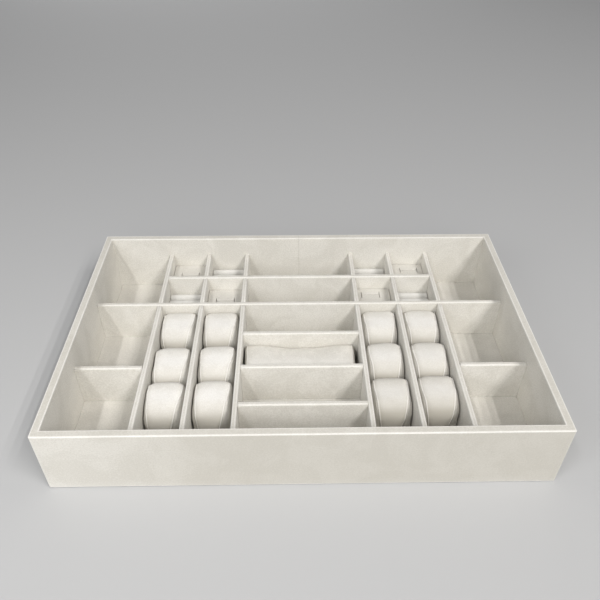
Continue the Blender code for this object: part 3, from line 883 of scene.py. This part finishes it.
def sewPillow(piece, node, look, seed, crest=(0.0, 0.0, 0.0)):
    # a raised sewn edge with a groove at each side, then the stuffing's own unevenness
    low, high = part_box(node)
    middle, half = (low.x + high.x) / 2, (high.x - low.x) / 2
    bm = bmesh.new()
    bm.from_mesh(piece.data)
    sewn = [e for e in bm.edges if e.seam]
    line = KDTree(2 * len(sewn))
    for i, edge in enumerate(sewn):
        a, b = (v.co.copy() for v in edge.verts)
        line.insert(a, 2 * i)
        line.insert(a.lerp(b, 0.5), 2 * i + 1)
    line.balance()
    bmesh.ops.bevel(bm, geom=sewn, offset=seamMake["offset"], offset_type="OFFSET",
                    segments=seamMake["segments"], profile=0.5, affect="EDGES", clamp_overlap=True)
    bm.normal_update()
    wearAndHighlightLayer = markLayer(bm, "wearAndHighlight")
    paintedShadeLayer = markLayer(bm, "paintedShadeMask")
    gusset = bm.verts.layers.float["gusset"]
    normals = {vert: vert.normal.copy() for vert in bm.verts}
    rise, arch, pillowPaintedShade = crest
    for vert in bm.verts:
        place = vert.co.copy()
        u = (place.x - middle) / half
        off = line.find(place)[2]
        stitch, gather = seamMake["stitch"], seamMake["gather"]
        uneven = 0.65 + 0.35 * noise.noise(Vector((seed, place.y / stitch, place.z / stitch)))
        ridge = max(0.0, 1 - off / look["ridgeHalf"])
        groove = max(0.0, 1 - abs(off - seamMake["grooveAt"]) / seamMake["grooveHalf"])
        lump = look["lump"] * noise.noise(place / look["lumpSize"] + Vector((seed * 1.7, 0, 0)))
        gathers = noise.noise(Vector((seed * 3.1 + place.x / 0.05, place.y / gather, place.z / gather)))
        pull = look["pucker"] * gathers * max(0.0, 1 - off / seamMake["gatherReach"])
        vert.co += normals[vert] * (look["ridge"] * ridge - look["groove"] * groove * uneven + lump + pull)
        # painted light and shade down the cover: darker over the crest and low in front, lighter between
        way = (high.y - place.y) + (high.z - place.z)
        start, full, fade, gone = look["paintedLightWay"]
        onFace = 1 - 0.75 * vert[gusset]
        paintedLight = smoothStep(start, full, way) * (1 - smoothStep(fade, gone, way)) * onFace
        # a painted highlight on the raised seam, and painted light between crest and front
        vert[wearAndHighlightLayer] = max(look["ridgeHighlight"] * ridge, look["paintedLight"] * paintedLight)
        paintedShadeSum = look["crestPaintedShade"] * (1 - smoothStep(-0.004, look["crestWay"], way))
        paintedShadeSum += look["frontPaintedShade"] * smoothStep(*look["frontWay"], way) * onFace
        paintedShadeSum += (look["footPaintedShade"] * smoothStep(*look["footWay"], way) + pillowPaintedShade) * onFace
        # painted shade in the grooves beside the seam, added to the cover's painted shade
        vert[paintedShadeLayer] = min(1.0, seamMake["paintedShade"] * groove * uneven + paintedShadeSum * (1 - ridge))
        top = smoothStep(low.z + 0.02, high.z, place.z)
        vert.co.z += top * (rise * u / 2 - arch * u * u + arch * 0.4)
        vert.co += normals[vert] * cornerFolds(place, low, high, seed)
    keepInside(bm, (low.x - 0.0004, low.y, low.z), (high.x + 0.0004, high.y, high.z + 0.0020))
    bmesh.ops.recalc_face_normals(bm, faces=bm.faces)
    bm.to_mesh(piece.data)
    bm.free()
    piece.data.shade_smooth()


def keepInside(bm, low, high):
    # pressed flat only where it meets the floor, a board or a neighbour
    for vert in bm.verts:
        for axis in range(3):
            vert.co[axis] = max(low[axis], min(high[axis], vert.co[axis]))


def dress(piece, node, cloth):
    piece.data.materials.clear()
    piece.data.materials.append(cloths[cloth])
    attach(piece, node + "_body")
    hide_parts(node)


# ring pads: soft rolls side by side on one foot, with a slot between each two
ringLook = {
    "rolls": 4, "slot": 0.0006, "slotDepth": 0.015, "endRound": 0.0030, "swell": 0.0004,
    "footRound": 0.0006, "sideRows": (0.006, 0.014, 0.020), "slotPaintedShade": 0.9, "topHighlight": 0.55,
    "rollDrop": 0.004, "swellSize": 0.016, "fill": 0.8, "sharpAngle": 60.0,
}
ringFlats = (0.0, 0.15, 0.3, 0.45, 0.6, 0.75)    # columns of points, as shares of half the width


def ringOutline(depth, height):
    # side view of the pad, up its front, over the rolls and down its back
    rolls, slot = ringLook["rolls"], ringLook["slot"]
    edge, rows = ringLook["footRound"], ringLook["sideRows"]
    width = (depth - (rolls - 1) * slot) / rolls
    radius = width / 2
    foot = height - ringLook["slotDepth"]
    outline = [(edge, 0.0), (0.0, edge)] + [(0.0, z) for z in rows]
    for i in range(rolls):
        front = i * (width + slot)
        if i > 0:
            outline += [(front - slot / 2, foot), (front, foot + 0.001), (front, foot + 0.004)]
        outline += arcPoints((front + radius, height - radius), radius, 180, 0, 14)
        if i < rolls - 1:
            outline += [(front + width, foot + 0.004), (front + width, foot + 0.001)]
    outline += [(depth, z) for z in reversed(rows)] + [(depth, edge), (depth - edge, 0.0)]
    return outline, width + slot, radius


def makeRingPad(node, seed):
    low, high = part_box(node)
    depth, height = high.y - low.y, high.z - low.z
    middle, half = (low.x + high.x) / 2, (high.x - low.x) / 2
    outline, pitch, radius = ringOutline(depth, height)
    endRound, swellSize = ringLook["endRound"], ringLook["swellSize"]
    stations = []
    for i in range(6):
        angle = math.radians(90 * i / 5)
        stations.append((half - endRound + endRound * math.sin(angle), endRound * (1 - math.cos(angle))))
    flats = [half * share for share in ringFlats]
    ends = [(-x, d) for x, d in reversed(stations)] + [(-x, 0.0) for x in reversed(flats[1:])]
    ends += [(x, 0.0) for x in flats] + stations
    bm = bmesh.new()
    wearAndHighlightLayer = markLayer(bm, "wearAndHighlight")
    paintedShadeLayer = markLayer(bm, "paintedShadeMask")
    rings = []
    for x, drawIn in ends:
        ring = []
        for y, z in outline:
            roll = min(ringLook["rolls"] - 1, max(0, int(y / pitch)))
            core = Vector((roll * pitch + radius, height - radius))
            point = Vector((y, z))
            swell = ringLook["swell"] * noise.noise(Vector((x / swellSize + seed, roll * 3.1, y / 0.02)))
            if z > height - radius - ringLook["rollDrop"]:
                away = point - core
                point = core + away * (1 - (drawIn + max(0.0, swell)) / radius)
            deep = smoothStep(height - 0.003, height - 0.009, point.y)
            inner = 0.001 < y < depth - 0.001
            vert = bm.verts.new((middle + x, low.y + point.x, low.z + point.y))
            # painted shade deep in the slots, and a painted highlight along the top of each roll
            inSlot = inner and z > height - ringLook["slotDepth"] - 0.001
            vert[paintedShadeLayer] = ringLook["slotPaintedShade"] * deep if inSlot else 0.0
            vert[wearAndHighlightLayer] = ringLook["topHighlight"] * smoothStep(height - 0.0022, height, point.y)
            ring.append(vert)
        rings.append(ring)
    skinRings(bm, rings)
    piece = finishPiece(node + "_cover", bm, cloths["ringVelvet"], ringLook["sharpAngle"])
    dress(piece, node, "ringVelvet")


# slotted pads: a foam block with an H cut in its top
slotLook = {
    "span": 0.0270, "cross": 0.0125, "half": 0.00028, "depth": 0.010, "edgeRound": 0.0014,
    "dish": 0.0007, "dishReach": 0.0045, "swell": 0.0005, "swellSize": 0.018, "spacing": 0.0035,
    "cutPaintedShade": 0.25, "cutReach": 0.0006, "lipLighter": 0.4, "lipAt": 0.0014, "lipHalf": 0.0012,
    "fill": 1.0, "sharpAngle": 50.0,
}
cutLines = (-0.0022, -0.0011, -0.00055, 0.0, 0.00055, 0.0011, 0.0022)    # rows of points beside a cut
edgeLines = (0.0, 0.0004, 0.0010, 0.0018)    # and in from an edge
sideRows = (0.004, 0.012, 0.022, 0.032)    # and up the pad's sides
# middle of each H, off the pad's middle and from its back face
slotCentres = {
    "left_back": (0.0, 0.0257), "left_second": (0.0, 0.0257),
    "right_back": (0.0040, 0.0155), "right_second": (-0.0038, 0.0140),
}


def slitDistance(x, y):
    # distance to the H: one long cut along x and a cross cut at each end
    along = math.hypot(max(0.0, abs(x) - slotLook["span"] / 2), y)
    cross = math.hypot(abs(x) - slotLook["span"] / 2, max(0.0, abs(y) - slotLook["cross"] / 2))
    return min(along, cross)


def gridLines(low, high, marks, spacing):
    # even lines, with close ones at both sides of each cut and along both edges
    close = []
    for mark in marks:
        close += [mark + off for off in cutLines]
    close += [low + off for off in edgeLines] + [high - off for off in edgeLines]
    count = max(1, round((high - low) / spacing))
    even = [low + (high - low) * i / count for i in range(1, count)]
    lines = sorted(close + [v for v in even if min(abs(v - c) for c in close) > 0.0012])
    kept = [lines[0]]
    for value in lines[1:]:
        if value - kept[-1] > 0.00025:
            kept.append(value)
    return kept


def makeSlottedPad(node, seed):
    low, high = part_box(node)
    aside, fromBack = slotCentres[node.removeprefix("slotted_pad_")]
    middle, cutY = (low.x + high.x) / 2 + aside, high.y - fromBack
    half, cross = slotLook["span"] / 2, slotLook["cross"] / 2
    edge = slotLook["edgeRound"]
    xs = gridLines(low.x, high.x, [middle - half, middle + half], slotLook["spacing"])
    ys = gridLines(low.y, high.y, [cutY, cutY - cross, cutY + cross], slotLook["spacing"])
    bm = bmesh.new()
    wearAndHighlightLayer = markLayer(bm, "wearAndHighlight")
    paintedShadeLayer = markLayer(bm, "paintedShadeMask")
    top = []
    for y in ys:
        row = []
        for x in xs:
            fromEdge = min(x - low.x, high.x - x, y - low.y, high.y - y)
            drop = edge - math.sqrt(max(0.0, edge ** 2 - (edge - min(edge, fromEdge)) ** 2))
            away = slitDistance(x - middle, y - cutY)
            cut = slotLook["depth"] * max(0.0, 1 - away / slotLook["half"])
            dish = slotLook["dish"] * max(0.0, 1 - away / slotLook["dishReach"]) ** 2
            size = slotLook["swellSize"]
            swell = slotLook["swell"] * noise.noise(Vector((x / size, y / size, seed)))
            vert = bm.verts.new((x, y, high.z - drop - cut - dish + min(swell, 0.0)))
            # painted shade along the cuts, and a lighter band on their lips
            vert[paintedShadeLayer] = slotLook["cutPaintedShade"] * max(0.0, 1 - away / slotLook["cutReach"])
            fromLip = abs(away - slotLook["lipAt"]) / slotLook["lipHalf"]
            vert[wearAndHighlightLayer] = slotLook["lipLighter"] * max(0.0, 1 - fromLip)
            row.append(vert)
        top.append(row)
    for j in range(len(ys) - 1):
        for i in range(len(xs) - 1):
            bm.faces.new((top[j][i], top[j][i + 1], top[j + 1][i + 1], top[j + 1][i]))
    border = [e for e in bm.edges if e.is_boundary]
    made = bmesh.ops.extrude_edge_only(bm, edges=border)
    for item in made["geom"]:
        if isinstance(item, bmesh.types.BMVert):
            item.co.z = low.z
    bmesh.ops.holes_fill(bm, edges=[e for e in bm.edges if e.is_boundary])
    for z in sideRows:
        cutAcross(bm, 2, low.z + z)
    piece = finishPiece(node + "_cover", bm, cloths["slotSuede"], slotLook["sharpAngle"])
    dress(piece, node, "slotSuede")


# the whole tray, piece by piece
placeCamera()
placeLamps()
makeStage()

for wallNode in wallSides:
    coverWall(wallNode)
print("walls covered")

for number, boardNode in enumerate(sorted(boardNodes)):
    coverBoard(boardNode, 7.0 + 1.3 * number)
print("dividers and partitions covered")

# nodes whose shape is right keep it, and only get their finish
keptFinish = {
    "floor_lining": cloths["floorSuede"],
    "underside_cover": cloths["backingSheet"],
    "base_board": bareBoard,
}
for keptNode, finish in keptFinish.items():
    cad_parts[keptNode].data.materials.clear()
    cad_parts[keptNode].data.materials.append(finish)
print("lining, underside and base board finished")

watchFace = [i / 5 for i in range(6)]
longFace = [i / 16 for i in range(17)]
pillows = {n: startPillow(n, watchPillowLook, watchFace) for n in pillowNodes}
longPillow = startPillow("bracelet_pillow", longPillowLook, longFace)
fillWithStuffing(list(pillows.values()) + [longPillow])
print("pillows stuffed")

for number, (pillowNode, pillow) in enumerate(pillows.items()):
    addSubdivision(pillow)
    crest = pillowCrests[pillowNode.removeprefix(pillowPrefix)]
    sewPillow(pillow, pillowNode, watchPillowLook, number + 1, crest)
    dress(pillow, pillowNode, "pillowVelvet")
addSubdivision(longPillow)
sewPillow(longPillow, "bracelet_pillow", longPillowLook, 21)
dress(longPillow, "bracelet_pillow", "longPillowVelvet")
print("pillows sewn")

for number, ringNode in enumerate(sorted(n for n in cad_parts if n.startswith("ring_pad"))):
    makeRingPad(ringNode, 2.0 + number)
for number, slotNode in enumerate(sorted(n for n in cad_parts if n.startswith("slotted_pad"))):
    makeSlottedPad(slotNode, 5.0 + number)
print("pads made")
